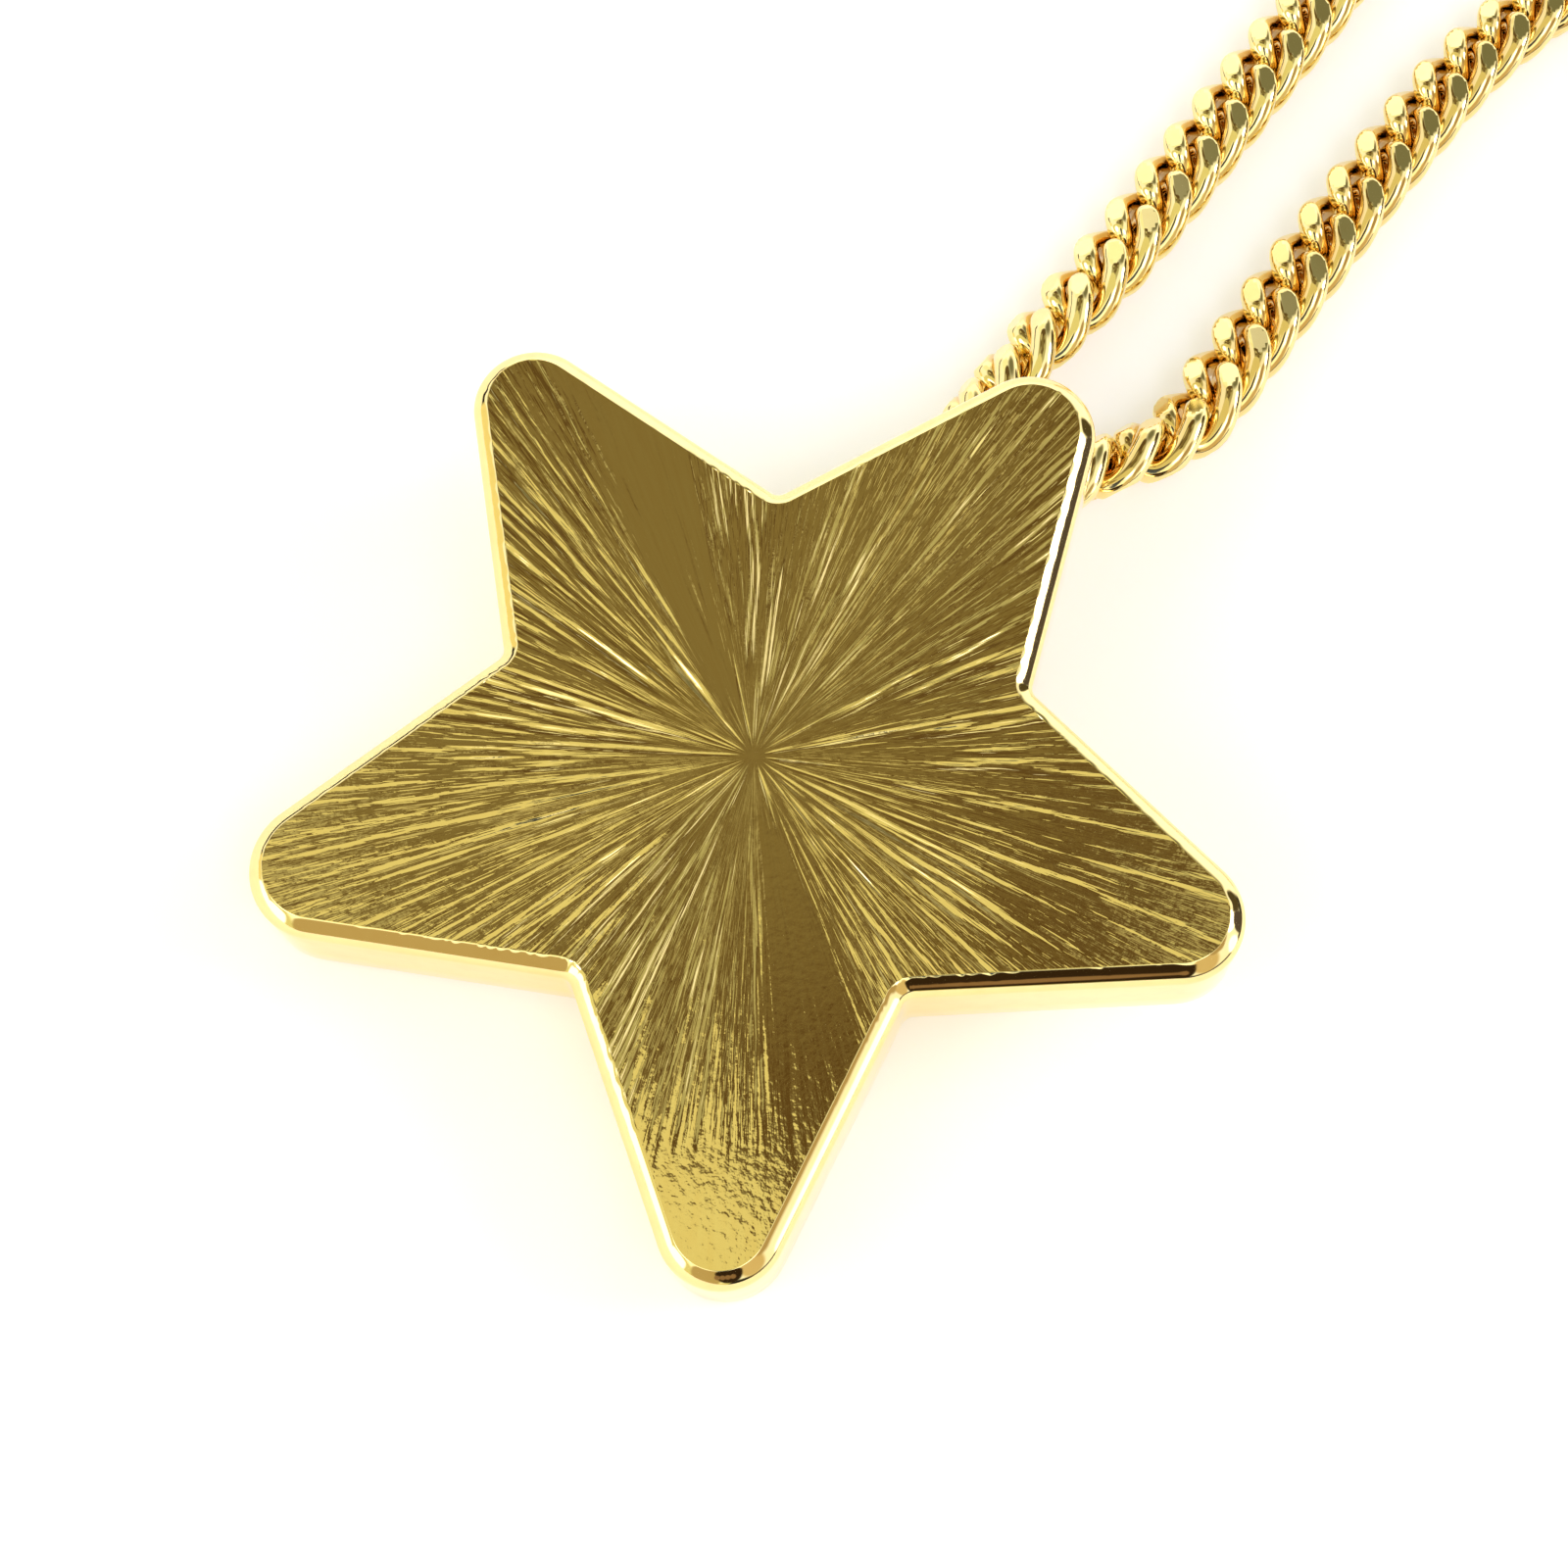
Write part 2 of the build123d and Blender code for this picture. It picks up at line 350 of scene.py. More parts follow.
def gold_polished(name, smoothest, roughest, wave_height, is_linked=False):
    """Polished plating: nearly mirror smooth, with clouds of deeper gold and casting waves.

    Where it is linked, a deeper orange is painted inside the links and underneath: painted shade.
    """
    material, shader, add, link = node_material(name)
    place = add("ShaderNodeTexCoord")
    cloud = add("ShaderNodeTexNoise", Scale=900.0, Detail=3.0, Roughness=0.6)
    link(place.outputs["Object"], cloud.inputs["Vector"])
    share = add("ShaderNodeMapRange", From_Min=0.45, From_Max=0.85, To_Max=0.5)
    link(cloud.outputs["Fac"], share.inputs["Value"])
    tone = colour_mix(material.node_tree, share.outputs["Result"], GOLD, GOLD_DEEP)
    if is_linked:
        # Painted shade: the 'inner' attribute turns the links' insides and undersides deeper orange
        inner = add("ShaderNodeAttribute", {"attribute_name": "inner"})
        tone = colour_mix(material.node_tree, inner.outputs["Fac"], tone, GOLD_PAINTED_SHADE)
    link(tone, shader.inputs["Base Color"])
    gloss = add("ShaderNodeMapRange", To_Min=smoothest, To_Max=roughest)
    link(cloud.outputs["Fac"], gloss.inputs["Value"])
    link(gloss.outputs["Result"], shader.inputs["Roughness"])
    waves = add("ShaderNodeTexNoise", Scale=420.0, Detail=2.0)
    link(place.outputs["Object"], waves.inputs["Vector"])
    bump = add("ShaderNodeBump", Distance=wave_height * MM)
    link(waves.outputs["Fac"], bump.inputs["Height"])
    link(bump.outputs["Normal"], shader.inputs["Normal"])
    shader.inputs["Metallic"].default_value = 1.0
    return material


def gold_engraved(name):
    """The cut face: fine scratches along the rays over a slightly pebbled plating."""
    material, shader, add, link = node_material(name)
    ray = add("ShaderNodeAttribute", {"attribute_name": "ray"})
    stretch = add("ShaderNodeVectorMath", {"operation": "MULTIPLY"})
    stretch.inputs[1].default_value = (scratches_across, scratches_across, scratches_along)
    link(ray.outputs["Vector"], stretch.inputs[0])
    scratches = add("ShaderNodeTexNoise", Scale=1.0, Detail=2.0, Roughness=0.55)
    link(stretch.outputs["Vector"], scratches.inputs["Vector"])
    cut = add("ShaderNodeAttribute", {"attribute_name": "cut"})
    scratch_height = add("ShaderNodeMath", {"operation": "MULTIPLY"})
    link(scratches.outputs["Fac"], scratch_height.inputs[0])
    link(cut.outputs["Fac"], scratch_height.inputs[1])
    place = add("ShaderNodeTexCoord")
    pebbles = add("ShaderNodeTexNoise", Scale=3600.0, Detail=2.0, Roughness=0.5)
    link(place.outputs["Object"], pebbles.inputs["Vector"])
    plain = add("ShaderNodeMapRange", To_Min=0.8, To_Max=0.6)
    link(cut.outputs["Fac"], plain.inputs["Value"])
    pebble_height = add("ShaderNodeMath", {"operation": "MULTIPLY"})
    link(pebbles.outputs["Fac"], pebble_height.inputs[0])
    link(plain.outputs["Result"], pebble_height.inputs[1])
    scratch_bump = add("ShaderNodeBump", Distance=scratch_depth * MM)
    link(scratch_height.outputs["Value"], scratch_bump.inputs["Height"])
    pebble_bump = add("ShaderNodeBump", Distance=pebble_depth * MM)
    link(pebble_height.outputs["Value"], pebble_bump.inputs["Height"])
    link(scratch_bump.outputs["Normal"], pebble_bump.inputs["Normal"])
    link(pebble_bump.outputs["Normal"], shader.inputs["Normal"])
    tone = colour_mix(material.node_tree, scratches.outputs["Fac"], GOLD, GOLD_DEEP)
    link(tone, shader.inputs["Base Color"])
    gloss = add("ShaderNodeMapRange", To_Min=0.03, To_Max=0.08)
    link(pebbles.outputs["Fac"], gloss.inputs["Value"])
    link(gloss.outputs["Result"], shader.inputs["Roughness"])
    shader.inputs["Metallic"].default_value = 1.0
    return material


def white_card(name):
    """Matt white sheet of a light table, faintly lit from below, with a trace of unevenness."""
    material, shader, add, link = node_material(name)
    place = add("ShaderNodeTexCoord")
    fibres = add("ShaderNodeTexNoise", Scale=300.0, Detail=4.0)
    link(place.outputs["Object"], fibres.inputs["Vector"])
    pale, paler = (0.88, 0.88, 0.89, 1.0), (0.92, 0.92, 0.92, 1.0)
    tone = colour_mix(material.node_tree, fibres.outputs["Fac"], pale, paler)
    link(tone, shader.inputs["Base Color"])
    shader.inputs["Roughness"].default_value = 0.7
    shader.inputs["Emission Color"].default_value = (1.0, 1.0, 1.0, 1.0)
    shader.inputs["Emission Strength"].default_value = 0.29
    return material


def heading_of(point):
    """Angle of a point of the outline from the top arm, anticlockwise, 0 to a full turn."""
    return math.atan2(-point[0], point[1]) % FULL_TURN


def between(angles, start, end):
    """Which angles lie on the way anticlockwise from start to end."""
    return (angles - start) % FULL_TURN < (end - start) % FULL_TURN


def turned_from(angles, middle):
    """How far the angles are turned from the middle one, half a turn at most each way."""
    return (angles - middle + math.pi) % FULL_TURN - math.pi


def smooth(low, high, values):
    """Eases from 0 at low to 1 at high."""
    share = np.clip((values - low) / (high - low), 0.0, 1.0)
    return share * share * (3 - 2 * share)


def outline_reach(angles, inset):
    """Distance from the star's middle to its outline, moved in by inset, at each angle."""
    turns = [math.radians(corner["turn"]) for corner in CORNERS]
    corners = [
        corner["corner"] * np.array([-math.sin(turn), math.cos(turn)])
        for corner, turn in zip(CORNERS, turns)
    ]
    normals, distances = [], []
    for here, following in zip(corners, corners[1:] + corners[:1]):
        run = (following - here) / np.linalg.norm(following - here)
        aside = np.array([run[1], -run[0]])
        normals.append(aside * math.copysign(1, aside @ here))
        distances.append(normals[-1] @ here)
    rays = np.stack([-np.sin(angles), np.cos(angles)], 1)
    reach = np.zeros(len(angles))
    arcs = []
    for k, corner in enumerate(CORNERS):
        bulge = 1 if k % 2 == 0 else -1
        rounding = corner["rounding"]
        both = np.array([normals[k - 1], normals[k]])
        sides = np.array([distances[k - 1], distances[k]])
        middle = np.linalg.solve(both, sides - bulge * rounding)
        radius = rounding - bulge * inset
        start = heading_of(middle + bulge * radius * normals[k - 1])
        end = heading_of(middle + bulge * radius * normals[k])
        arcs.append((start, end))
        on_arc = between(angles, start, end)
        ray = rays[on_arc]
        offset = ray[:, 0] * middle[1] - ray[:, 1] * middle[0]
        reach[on_arc] = ray @ middle + bulge * np.sqrt(np.maximum(radius**2 - offset**2, 0))
    for k, (_, end) in enumerate(arcs):
        following_start = arcs[(k + 1) % len(arcs)][0]
        on_edge = between(angles, end, following_start)
        reach[on_edge] = (distances[k] - inset) / (rays[on_edge] @ normals[k])
    return reach


# Grid of the star's mesh: divisions round the face, how many of them share one on the wall,
# and the rings of the face, the wall, the back's rounding and the back. The face's go from
# center_radius, closer together there than farther out, to border_step inside the rim
FACE_DIVISIONS = 2320
WALL_SHARE = 4
FACE_RINGS = 26
WALL_RINGS = 3
BACK_RINGS = 4
BACK_SHARES = (0.6, 0.2)
center_radius = 0.25
ring_crowding = 1.15
border_step = 0.03

# Section of the rim from the face outward: its tilt in degrees along the way, in shares of
# the way, a narrow flank and then a round down to the wall; steps is the rings up to there
RIM_SECTION = [
    dict(along=0.0, tilt=0.0, steps=0),
    dict(along=0.03, tilt=34.0, steps=2),
    dict(along=0.55, tilt=44.0, steps=4),
    dict(along=0.62, tilt=50.0, steps=1),
    dict(along=1.0, tilt=90.0, steps=5),
]

# The cuts nick the rim by nick_share of their depth, less on each ring up to nick_rings
nick_share = 0.5
nick_rings = 3

# Cut rays of the face: short ones at its middle, broad ones that catch the light and fine
# ones between them. slopes is how steep their walls are, taper how long they run out, and
# SEED is for their random draws
SEED = 5
RAYS = [
    dict(
        count=34,
        starts=(0.25, 0.9),
        widths=(0.05, 0.10),
        slopes=(0.12, 0.30),
        lengths=(1.0, 5.0),
        taper=0.4,
    ),
    dict(
        count=270,
        starts=(1.2, 13.5),
        widths=(0.11, 0.26),
        slopes=(0.08, 0.28),
        lengths=(3.0, 13.0),
        taper=1.2,
    ),
    dict(
        count=430,
        starts=(1.2, 17.0),
        widths=(0.06, 0.12),
        slopes=(0.04, 0.18),
        lengths=(1.5, 9.0),
        taper=1.0,
    ),
]

# How far the rays waver from straight, fully so if they start beyond wavering_from
ray_waver = 0.12
wavering_from = 3.0
WAVE_LENGTHS = (3.0, 7.0)

# No ray reaches farther than this angle, in radians, to either side of its middle
widest_ray = 0.35

# Stretches of the face with shallow rays, beyond a distance out. toward is in degrees from
# the top arm, anticlockwise, spread is how far they go to each side of it, and keep is the
# share of the depth that stays. It falls to that within quiet_core, a share of the spread,
# and quiet_fade beyond the distance
QUIET = [
    dict(toward=60, spread=12, beyond=0.8, keep=0.20),
    dict(toward=232, spread=17, beyond=1.2, keep=0.12),
    dict(toward=216, spread=20, beyond=12.0, keep=0.0),
    dict(toward=144, spread=34, beyond=8.5, keep=0.6),
    dict(toward=288, spread=34, beyond=8.5, keep=0.6),
]
quiet_core = 0.3
quiet_fade = 2.0

# Single deep cuts that catch a lamp, with toward as above, and how long they run out
DEEP_CUTS = [
    dict(toward=78.5, start=2.0, end=4.8, width=0.20, depth=0.066),
    dict(toward=253.0, start=2.9, end=4.6, width=0.05, depth=0.024),
    dict(toward=261.0, start=4.4, end=6.9, width=0.05, depth=0.024),
    dict(toward=229.5, start=3.2, end=4.0, width=0.05, depth=0.020),
]
deep_taper = 1.2

# Distance out at which the fine scratches are scratch_depth deep; they are shallower nearer
# the middle and deeper beyond
scratch_reach = 12.0


def straight(radius):
    """Bend of a ray that doesn't waver."""
    return np.zeros_like(radius)


def cut_groove(height, radii, angles, middle, start, end, width, depth, bend, taper):
    """Presses one tapered groove along a ray into the grid of heights."""
    offset = turned_from(angles, middle)
    columns = np.nonzero(np.abs(offset) < widest_ray)[0]
    radius = radii[:, columns]
    across = np.clip((radius * offset[columns] - bend(radius)) / width, -1, 1)
    profile = np.cos(across * math.pi / 2) ** 2
    along = smooth(start, start + taper, radius) * smooth(end, end - taper, radius)
    height[:, columns] -= depth * profile * along


def quiet_share(radii, angles):
    """How much of the cutting shows over the face: 1 in most places, less on the plain ones."""
    share = np.ones_like(radii)
    for place in QUIET:
        offset = turned_from(angles, math.radians(place["toward"]))
        spread = math.radians(place["spread"])
        inside = smooth(spread, spread * quiet_core, np.abs(offset))
        inside = inside * smooth(place["beyond"], place["beyond"] + quiet_fade, radii)
        share *= 1 - (1 - place["keep"]) * inside
    return share


def sunburst(radii, angles):
    """Height of the cut face over a grid of radii, a row for each ring, and angles."""
    rng = np.random.default_rng(SEED)
    height = np.zeros_like(radii)
    for kind in RAYS:
        for turn in np.arange(kind["count"]) + rng.uniform(-0.5, 0.5, kind["count"]):
            start = rng.uniform(*kind["starts"])
            width = rng.uniform(*kind["widths"])
            waver = rng.uniform(-ray_waver, ray_waver) * min(1.0, start / wavering_from)
            wave_length = rng.uniform(*WAVE_LENGTHS)
            wave_start = rng.uniform(0.0, FULL_TURN)
            end = start + rng.uniform(*kind["lengths"])
            # A wall this steep at its middle makes a groove this deep
            depth = rng.uniform(*kind["slopes"]) * width * 2 / math.pi
            middle = FULL_TURN * turn / kind["count"]

            def bend(radius):
                return waver * np.sin(radius / wave_length * FULL_TURN + wave_start)

            cut_groove(
                height, radii, angles, middle, start, end, width, depth, bend, kind["taper"]
            )
    height *= quiet_share(radii, angles)
    for cut in DEEP_CUTS:
        middle = math.radians(cut["toward"])
        start, end, width, depth = cut["start"], cut["end"], cut["width"], cut["depth"]
        cut_groove(
            height, radii, angles, middle, start, end, width, depth, straight, deep_taper
        )
    return height


def join_rings(first, second, share):
    """Faces between two closed rings of vertex numbers; the first has share times as many."""
    faces = []
    count = len(second)
    for i in range(count):
        low, high = second[i], second[(i + 1) % count]
        steps = [first[(i * share + k) % len(first)] for k in range(share + 1)]
        if share == 1:
            faces.append((steps[0], steps[1], high, low))
            continue
        half = share // 2
        faces += [(steps[k], steps[k + 1], low) for k in range(half)]
        faces.append((steps[half], high, low))
        faces += [(steps[k], steps[k + 1], high) for k in range(half, share)]
    return faces


def rim_section():
    """Inset and drop of each ring of the rim, from just off the face to the wall."""
    along, tilts = [0.0], [0.0]
    for here, following in zip(RIM_SECTION, RIM_SECTION[1:]):
        shares = np.arange(1, following["steps"] + 1) / following["steps"]
        along.extend(here["along"] + (following["along"] - here["along"]) * shares)
        tilts.extend(here["tilt"] + (following["tilt"] - here["tilt"]) * shares)
    steps = np.diff(along)
    middles = np.radians((np.array(tilts[1:]) + np.array(tilts[:-1])) / 2)
    out = np.cumsum(steps * np.cos(middles))
    down = np.cumsum(steps * np.sin(middles))
    scale = rim_rounding / out[-1]
    return rim_rounding - out * scale, down * scale


def star_rings():
    """Rings of the star's surface from the middle of its face to the middle of its back."""
    angles = np.arange(FACE_DIVISIONS) * FULL_TURN / FACE_DIVISIONS
    coarse = angles[::WALL_SHARE]
    border = outline_reach(angles, rim_rounding)
    shares = np.linspace(0.0, 1.0, FACE_RINGS)[:, None] ** ring_crowding
    radii = center_radius + (border - border_step - center_radius) * shares
    radii = np.concatenate([radii, border[None, :]])
    heights = sunburst(radii, angles)
    rings = [(angles, radius, height) for radius, height in zip(radii, heights)]
    insets, drops = rim_section()
    for k, (inset, drop) in enumerate(zip(insets, drops)):
        nick = heights[-1] * nick_share * max(0.0, 1 - k / nick_rings)
        rings.append((angles, outline_reach(angles, inset), nick - drop))
    full = outline_reach(coarse, 0.0)
    wall_low = back_rounding - star_thickness
    for z in np.linspace(-drops[-1], wall_low, WALL_RINGS + 1)[1:]:
        rings.append((coarse, full, np.full_like(full, z)))
    for k in range(1, BACK_RINGS + 1):
        turn = k / BACK_RINGS * math.pi / 2
        radius = outline_reach(coarse, back_rounding * (1 - math.cos(turn)))
        z = wall_low - back_rounding * math.sin(turn)
        rings.append((coarse, radius, np.full_like(radius, z)))
    for share in BACK_SHARES:
        rings.append((coarse, radius * share, np.full_like(radius, -star_thickness)))
    return rings


def star_shell():
    """Vertices and faces of the star's body, which faces are cut, and each vertex's ray.

    It is in the star's own frame. A ray is its direction and the distance along it.
    """
    points, faces, cut, rays = [], [], [], []
    numbers = []
    for angles, radius, height in star_rings():
        numbers.append(np.arange(len(points), len(points) + len(angles)))
        ring = np.stack([-radius * np.sin(angles), radius * np.cos(angles), height], 1)
        points.extend(ring)
        rays.extend(np.stack([np.sin(angles), np.cos(angles), radius], 1))
    for k, (first, second) in enumerate(zip(numbers, numbers[1:])):
        made = join_rings(first, second, len(first) // len(second))
        faces += made
        cut += [k < FACE_RINGS] * len(made)
    for ring, is_front in ((numbers[0], True), (numbers[-1], False)):
        hub = len(points)
        height = np.mean([points[i][2] for i in ring])
        points.append(np.array([0.0, 0.0, height]))
        rays.append(np.zeros(3))
        turned = np.roll(ring, -1)
        pairs = zip(turned, ring) if is_front else zip(ring, turned)
        faces += [(a, b, hub) for a, b in pairs]
        cut += [is_front] * len(ring)
    return points, faces, cut, rays


# Points along each side of the bail, round each bend and round each edge of its strip
SIDE_POINTS = 4
BEND_POINTS = 9
EDGE_POINTS = 5


def bail_shell(first):
    """Vertices and faces of the bail: a flat strip bent into a loop on the star's back."""
    half = bail_length / 2 - bail_strip / 2
    corner = bail_corner - bail_strip / 2
    low = -star_thickness - bail_depth + bail_strip / 2
    high = -star_thickness + solder_depth
    quarter = math.pi / 2
    turns = np.linspace(0.0, quarter, BEND_POINTS)
    # Along the middle of the strip, out of the star's back and into it again: y from the
    # middle of the bail, z and how far the strip has bent there
    path = [(-half, z, 0.0) for z in np.linspace(high, low + corner, SIDE_POINTS)[:-1]]
    path += [
        (-half + corner * (1 - math.cos(t)), low + corner * (1 - math.sin(t)), t) for t in turns
    ]
    path += [
        (y, low, quarter) for y in np.linspace(-half + corner, half - corner, SIDE_POINTS)[1:-1]
    ]
    path += [
        (half - corner * (1 - math.sin(t)), low + corner * (1 - math.cos(t)), quarter + t)
        for t in turns
    ]
    path += [(half, z, math.pi) for z in np.linspace(low + corner, high, SIDE_POINTS)[1:]]
    section = []
    for side_x, side_n, start in ((1, 1, 0), (-1, 1, 90), (-1, -1, 180), (1, -1, 270)):
        for t in np.radians(start + np.linspace(0, 90, EDGE_POINTS)):
            section.append((
                side_x * (bail_width / 2 - strip_rounding) + strip_rounding * math.cos(t),
                side_n * (bail_strip / 2 - strip_rounding) + strip_rounding * math.sin(t),
            ))
    points, faces = [], []
    count = len(section)
    for y, z, turn in path:
        outward = (-math.cos(turn), -math.sin(turn))
        for x, n in section:
            points.append(np.array([x, bail_distance + y + n * outward[0], z + n * outward[1]]))
    for k in range(len(path) - 1):
        for i in range(count):
            j = (i + 1) % count
            a, b = first + k * count, first + (k + 1) * count
            faces.append((a + i, b + i, b + j, a + j))
    faces.append(tuple(first + i for i in range(count)))
    last = first + (len(path) - 1) * count
    faces.append(tuple(last + i for i in reversed(range(count))))
    return points, faces


def mesh_object(name, points, faces, materials):
    """A smooth-shaded object from points in metres."""
    mesh = bpy.data.meshes.new(name)
    mesh.from_pydata([tuple(p) for p in points], [], [tuple(map(int, f)) for f in faces])
    for material in materials:
        mesh.materials.append(material)
    mesh.polygons.foreach_set("use_smooth", [True] * len(mesh.polygons))
    piece = bpy.data.objects.new(name, mesh)
    bpy.context.scene.collection.objects.link(piece)
    return piece


def add_attribute(mesh, name, values):
    """Gives each vertex a number or, from rows of three, a vector that materials can read."""
    values = np.array(values, np.float32)
    kind, field = ("FLOAT", "value") if values.ndim == 1 else ("FLOAT_VECTOR", "vector")
    mesh.attributes.new(name, kind, "POINT").data.foreach_set(field, values.ravel())


def face_outward(mesh):
    """Turns every shell's faces outward."""
    work = bmesh.new()
    work.from_mesh(mesh)
    bmesh.ops.recalc_face_normals(work, faces=work.faces)
    work.to_mesh(mesh)
    work.free()


def make_star():
    """The star with its cut face, rounded rim and the bail behind its top arm."""
    points, faces, cut, rays = star_shell()
    bail_points, bail_faces = bail_shell(len(points))
    points += bail_points
    faces += bail_faces
    rays += [np.zeros(3)] * len(bail_points)
    placed = [(star_place @ Vector(p)) * MM for p in points]
    materials = [
        gold_engraved("gold_engraved"),
        gold_polished("gold_polished", smoothest=0.03, roughest=0.08, wave_height=0.004),
    ]
    star = mesh_object("star", placed, faces, materials)
    slots = [0 if is_cut else 1 for is_cut in cut] + [1] * len(bail_faces)
    star.data.polygons.foreach_set("material_index", slots)
    rays = np.array(rays, np.float32)
    add_attribute(star.data, "ray", rays)
    # Scratches are as deep for their width all over, so they grow with the distance out
    headings = np.arctan2(rays[:, 0], rays[:, 1])
    cutting = quiet_share(rays[:, 2], headings) * rays[:, 2] / scratch_reach
    add_attribute(star.data, "cut", cutting)
    face_outward(star.data)
    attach(star, "root")
    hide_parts("star_pendant")
    return star


def route_line():
    """Each link's distance along the chain's middle, its place and its direction, in mm."""
    curve = bpy.data.curves.new("route", "CURVE")
    curve.dimensions = "3D"
    spline = curve.splines.new("NURBS")
    spline.points.add(len(CHAIN_ROUTE) - 1)
    for point, place in zip(spline.points, CHAIN_ROUTE):
        point.co = (*(Vector(place) * MM), 1.0)
    spline.order_u = 3
    spline.use_endpoint_u = True
    spline.resolution_u = 64
    holder = bpy.data.objects.new("route", curve)
    mesh = bpy.data.meshes.new_from_object(holder)
    line = np.array([v.co for v in mesh.vertices]) / MM
    bpy.data.objects.remove(holder)
    steps = np.linalg.norm(np.diff(line, axis=0), axis=1)
    travel = np.concatenate([[0.0], np.cumsum(steps)])
    pitches = round((travel[-1] - 2 * link_half_length) / link_pitch)
    stops = np.linspace(link_half_length, travel[-1] - link_half_length, pitches + 1)

    def places_at(distances):
        return np.stack([np.interp(distances, travel, line[:, k]) for k in range(3)], 1)

    headings = places_at(stops + link_pitch / 2) - places_at(stops - link_pitch / 2)
    return stops, places_at(stops), headings / np.linalg.norm(headings, axis=1)[:, None]


# Steps round a link and round its wire, up to near_reach from the bail and beyond it
NEAR_STEPS = (64, 20)
FAR_STEPS = (28, 10)
near_reach = 44.0

# Where the painted shade, a deeper orange, starts and is full: on the side of the wire inside its
# link, by the cosine of the angle round the wire, and on the underside, by the sine, where it
# comes to under_share at most
INSIDE_LIMITS = (0.2, -0.5)
UNDER_LIMITS = (-0.1, -0.8)
under_share = 0.5


def link_shape(link_steps, wire_steps):
    """Points of one curb link lying along x, a ring of wire at each step round the oval.

    Two planes above and two below grind flat facets on it. Also says which points they cut
    and how much painted shade each gets for facing into the link or down.
    """
    turn = np.arange(link_steps) * FULL_TURN / link_steps
    power = 2 / link_squareness
    x = link_half_length * np.sign(np.cos(turn)) * np.abs(np.cos(turn)) ** power
    y = link_half_width * np.sign(np.sin(turn)) * np.abs(np.sin(turn)) ** power
    twist = link_twist * x / link_half_length
    middle = np.stack([x, y * np.cos(twist), y * np.sin(twist)], 1)
    along = np.roll(middle, -1, axis=0) - np.roll(middle, 1, axis=0)
    along /= np.linalg.norm(along, axis=1)[:, None]
    upright = np.stack([np.zeros_like(x), -np.sin(twist), np.cos(twist)], 1)
    upright -= np.sum(upright * along, 1)[:, None] * along
    upright /= np.linalg.norm(upright, axis=1)[:, None]
    outward = np.cross(along, upright)
    around = np.arange(wire_steps) * FULL_TURN / wire_steps
    radius = wire_diameter / 2
    rings = [
        middle + radius * (math.cos(a) * outward + math.sin(a) * upright) for a in around
    ]
    points = np.stack(rings, 1).reshape(-1, 3)
    ground = np.zeros(len(points), bool)
    for side in (-1, 1):
        for face in (-1, 1):
            normal = np.array([0.0, side * math.sin(facet_tilt), face * math.cos(facet_tilt)])
            heights = points @ normal
            beyond = heights - heights.max() + facet_depth
            ground |= beyond > 0
            points -= np.maximum(beyond, 0)[:, None] * normal
    # Painted shade: deeper orange on the wire's side inside its link and on its underside
    inside = smooth(*INSIDE_LIMITS, np.cos(around))
    under = under_share * smooth(*UNDER_LIMITS, np.sin(around))
    return points, ground, np.tile(np.maximum(inside, under), link_steps)


def link_faces(link_steps, wire_steps):
    """Faces of one link, by point numbers."""
    faces = []
    for i in range(link_steps):
        for j in range(wire_steps):
            a, b = i * wire_steps, (i + 1) % link_steps * wire_steps
            k = (j + 1) % wire_steps
            faces.append((a + j, b + j, b + k, a + k))
    return faces


# The links stand on edge in the bail and lie down along a stretch from it. They stay tipped
# a little beyond that, and lie level from level_from on
stand_roll = math.radians(88.0)
stand_until = 2.0
flat_from = 24.0
settled_roll = math.radians(12.0)
tipped_until = 52.0
level_from = 82.0


def link_turn(heading, from_bail, is_past_bail):
    """Directions of a link's length, width and thickness where the chain goes by."""
    lying = smooth(stand_until, flat_from, from_bail)
    tipped = settled_roll * smooth(level_from, tipped_until, from_bail)
    roll = stand_roll * (1 - lying) + tipped * lying
    if is_past_bail:
        roll = math.pi - roll
    side = np.cross((0, 0, 1), heading)
    side /= np.linalg.norm(side)
    rise = np.cross(heading, side)
    across = side * math.cos(roll) + rise * math.sin(roll)
    return np.stack([heading, across, np.cross(heading, across)])


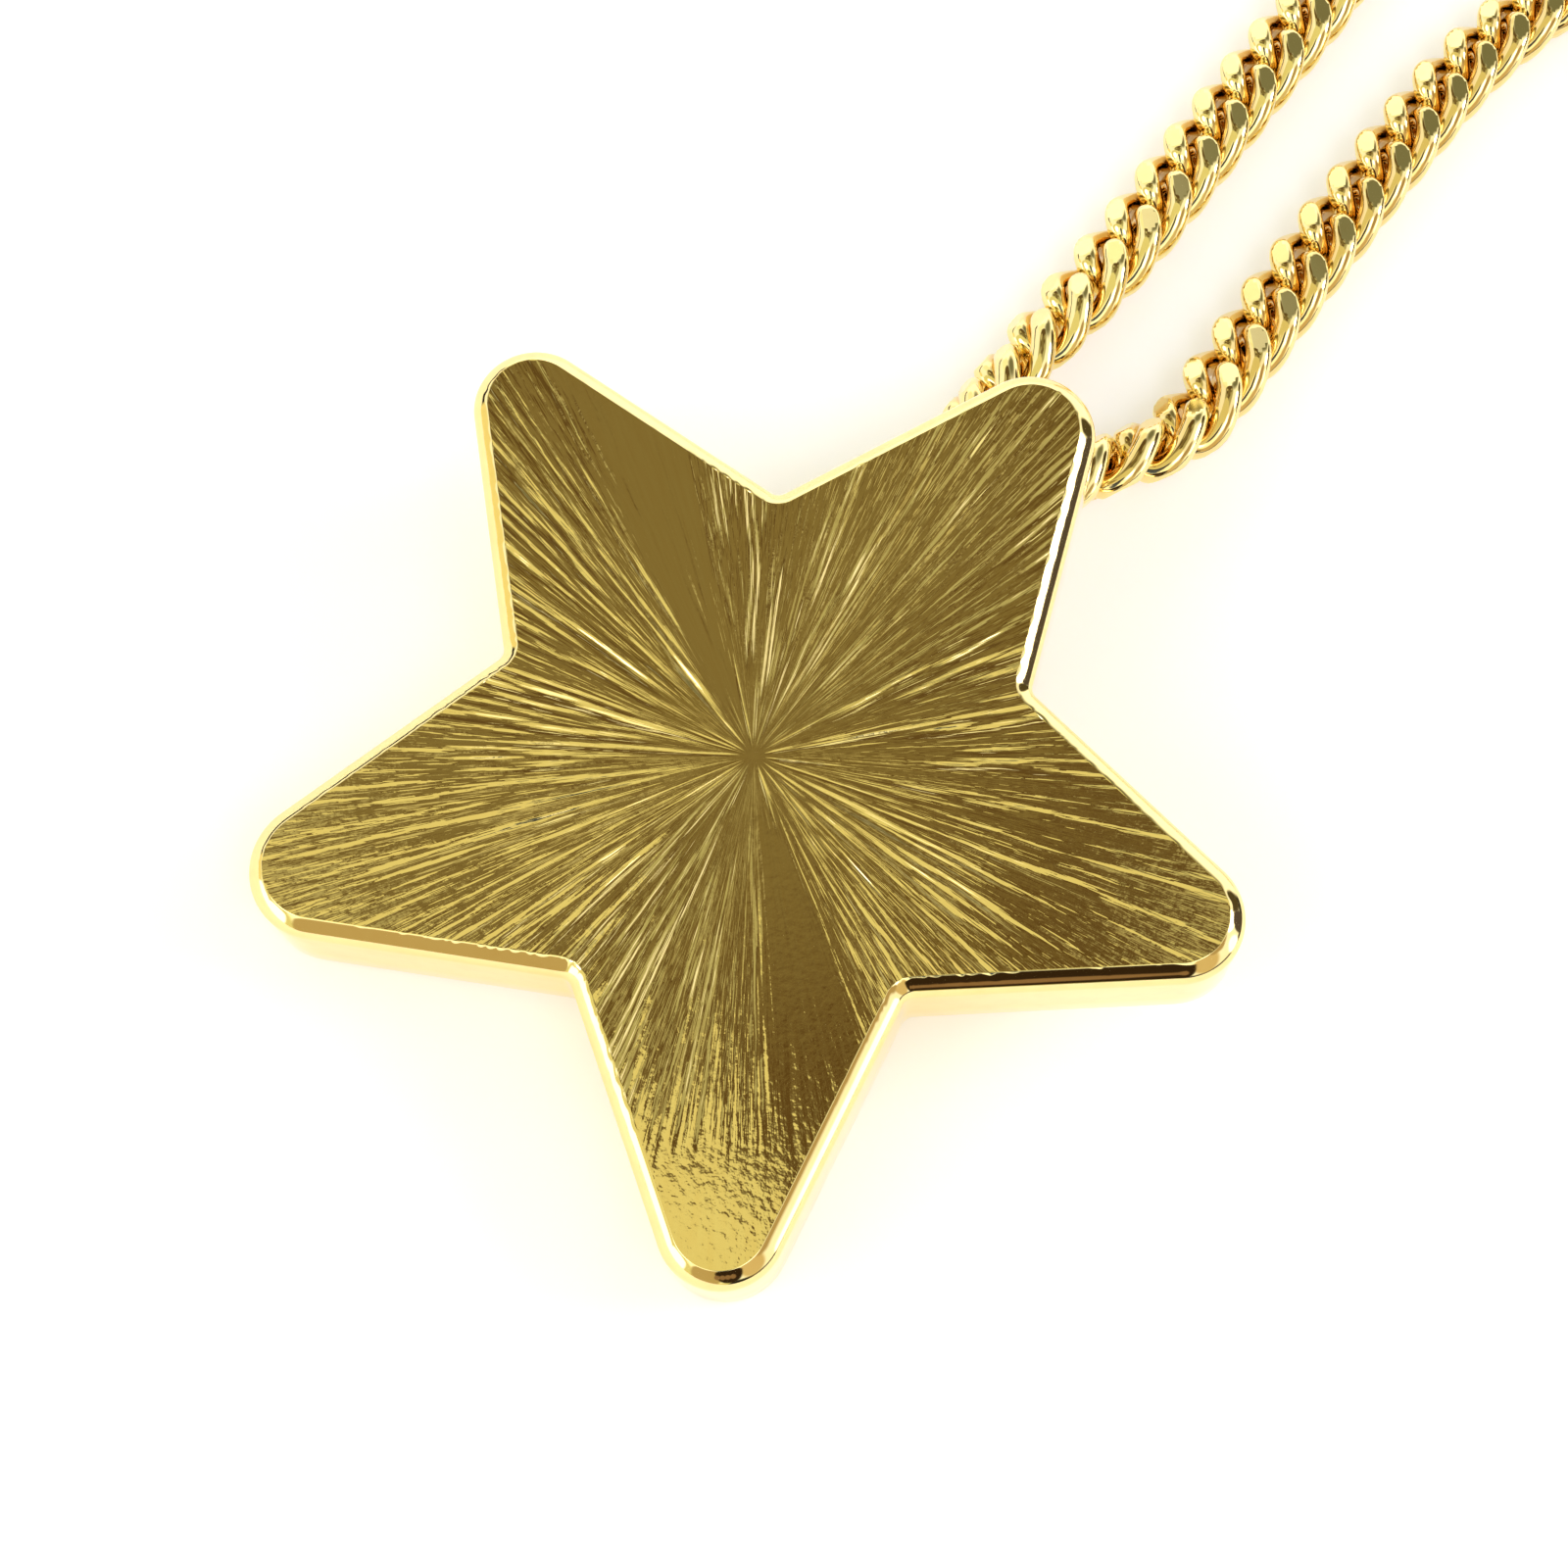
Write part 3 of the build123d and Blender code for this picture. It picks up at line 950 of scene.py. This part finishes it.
def make_chain():
    """The curb chain: twisted links from one end of the clasp through the bail to the other."""
    stops, places, headings = route_line()
    bail_stop = stops[np.argmin(np.linalg.norm(places - (0, bail_y, bail_z), axis=1))]
    patterns = {
        steps: (*link_shape(*steps), link_faces(*steps)) for steps in (NEAR_STEPS, FAR_STEPS)
    }
    points, faces, flat, painted_shade_share = [], [], [], []
    for stop, place, heading in zip(stops, places, headings):
        from_bail = abs(stop - bail_stop)
        steps = NEAR_STEPS if from_bail < near_reach else FAR_STEPS
        shape, ground, inner, pattern = patterns[steps]
        turned = shape @ link_turn(heading, from_bail, stop > bail_stop)
        # Down on the floor where the route is low, on the route itself where it is raised
        raised = min(max((place[2] - lie) / (clasp_z - lie), 0.0), 1.0)
        height = place[2] * raised - turned[:, 2].min() * (1 - raised)
        first = len(points)
        points.extend((turned + (place[0], place[1], height)) * MM)
        faces.extend(tuple(first + i for i in face) for face in pattern)
        flat.extend(all(ground[i] for i in face) for face in pattern)
        # Painted shade share of each point, none on the ground facets
        painted_shade_share.extend(inner * (1 - ground))
    polish = gold_polished(
        "gold_links", smoothest=0.04, roughest=0.10, wave_height=0.003, is_linked=True
    )
    chain = mesh_object("chain_links", points, faces, [polish])
    chain.data.polygons.foreach_set("use_smooth", [not is_flat for is_flat in flat])
    add_attribute(chain.data, "inner", painted_shade_share)
    face_outward(chain.data)
    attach(chain, "root")
    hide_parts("chain")
    return chain


def gild_clasp():
    """Polished plating on the clasp's own solid, a plain barrel."""
    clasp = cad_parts["clasp"]
    polish = gold_polished("gold_clasp", smoothest=0.05, roughest=0.12, wave_height=0.005)
    clasp.data.materials.clear()
    clasp.data.materials.append(polish)


# How far the floor goes from the middle to each side
floor_reach = 2000.0


def make_floor():
    """A wide white card that everything lies on."""
    work = bmesh.new()
    bmesh.ops.create_grid(work, x_segments=2, y_segments=2, size=floor_reach * MM)
    mesh = bpy.data.meshes.new("floor")
    work.to_mesh(mesh)
    work.free()
    mesh.materials.append(white_card("white_card"))
    floor = bpy.data.objects.new("floor", mesh)
    bpy.context.scene.collection.objects.link(floor)


light_studio(*make_camera())
make_floor()
make_star()
make_chain()
gild_clasp()
